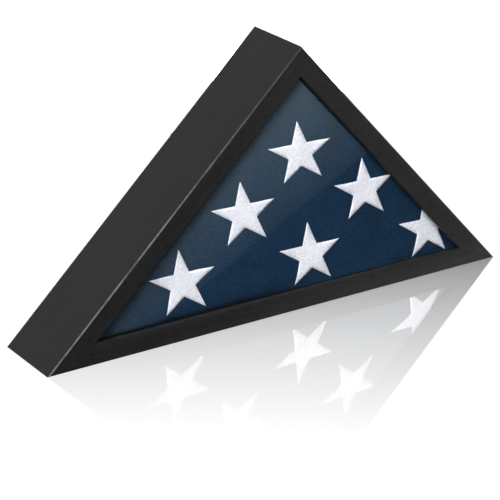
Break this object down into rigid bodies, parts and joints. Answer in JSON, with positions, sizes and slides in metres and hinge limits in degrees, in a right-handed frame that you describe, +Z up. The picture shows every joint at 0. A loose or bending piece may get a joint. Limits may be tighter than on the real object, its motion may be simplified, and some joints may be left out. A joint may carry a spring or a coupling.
{
  "type": "folded flag display case",
  "caption": "Triangular black wooden display case with a clear pane, holding a folded navy flag with white stars; the felt-lined back is held by turn buttons.",
  "frame": {"origin": "middle of the flat face that the case stands on, half way across its width and half way between the front and the back edges of its rails", "axes": "+X across the case to the viewer's right, +Y from the window towards the back, +Z up"},
  "size_m": [0.6478, 0.094, 0.3239],
  "materials": {
    "rail_wood": "satin",
    "pane": "gloss",
    "liner_board": "matte",
    "flag_cloth": "matte",
    "star_thread": "satin",
    "back_board": "matte",
    "felt": "matte",
    "hardware": "satin"
  },
  "bodies": {
    "case": {"base_rail": "rail_wood", "left_rail": "rail_wood", "right_rail": "rail_wood", "glazing_pane": "pane", "base_liner": "liner_board", "left_liner": "liner_board", "right_liner": "liner_board", "folded_flag": "flag_cloth", "flag_stars": "star_thread", "turn_button_screws": "hardware", "hanger_strap_left": "hardware", "hanger_strap_right": "hardware", "hanger_screws": "hardware", "corner_v_nails": "hardware"},
    "back": {"back_panel": "back_board", "panel_felt": "felt"},
    "turn_button_left_upper": {"turn_button_left_upper": "hardware"},
    "turn_button_left_lower": {"turn_button_left_lower": "hardware"},
    "turn_button_right_upper": {"turn_button_right_upper": "hardware"},
    "turn_button_right_lower": {"turn_button_right_lower": "hardware"},
    "turn_button_base_left": {"turn_button_base_left": "hardware"},
    "turn_button_base_right": {"turn_button_base_right": "hardware"},
    "hanger_ring_left": {"hanger_ring_left": "hardware"},
    "hanger_ring_right": {"hanger_ring_right": "hardware"}
  },
  "joints": [
    {"name": "back_draw", "type": "slide", "parent": "case", "child": "back", "axis": [0, 1, 0], "range_m": [0, 0.12]},
    {"name": "turn_left_upper", "type": "hinge", "parent": "case", "child": "turn_button_left_upper", "pos_m": [-0.05056, 0.045, 0.26425], "axis": [0, -1, 0], "continuous": true},
    {"name": "turn_left_lower", "type": "hinge", "parent": "case", "child": "turn_button_left_lower", "pos_m": [-0.20768, 0.045, 0.10713], "axis": [0, 1, 0], "continuous": true},
    {"name": "turn_right_upper", "type": "hinge", "parent": "case", "child": "turn_button_right_upper", "pos_m": [0.05056, 0.045, 0.26425], "axis": [0, 1, 0], "continuous": true},
    {"name": "turn_right_lower", "type": "hinge", "parent": "case", "child": "turn_button_right_lower", "pos_m": [0.20768, 0.045, 0.10713], "axis": [0, -1, 0], "continuous": true},
    {"name": "turn_base_left", "type": "hinge", "parent": "case", "child": "turn_button_base_left", "pos_m": [-0.15, 0.045, 0.0065], "axis": [0, -1, 0], "continuous": true},
    {"name": "turn_base_right", "type": "hinge", "parent": "case", "child": "turn_button_base_right", "pos_m": [0.15, 0.045, 0.0065], "axis": [0, 1, 0], "continuous": true},
    {"name": "hanger_ring_left_swing", "type": "hinge", "parent": "case", "child": "hanger_ring_left", "pos_m": [-0.10147, 0.047, 0.21334], "axis": [0.7071, 0, -0.7071], "range_deg": [0, 180]},
    {"name": "hanger_ring_right_swing", "type": "hinge", "parent": "case", "child": "hanger_ring_right", "pos_m": [0.10147, 0.047, 0.21334], "axis": [0.7071, 0, 0.7071], "range_deg": [0, 180]}
  ]
}
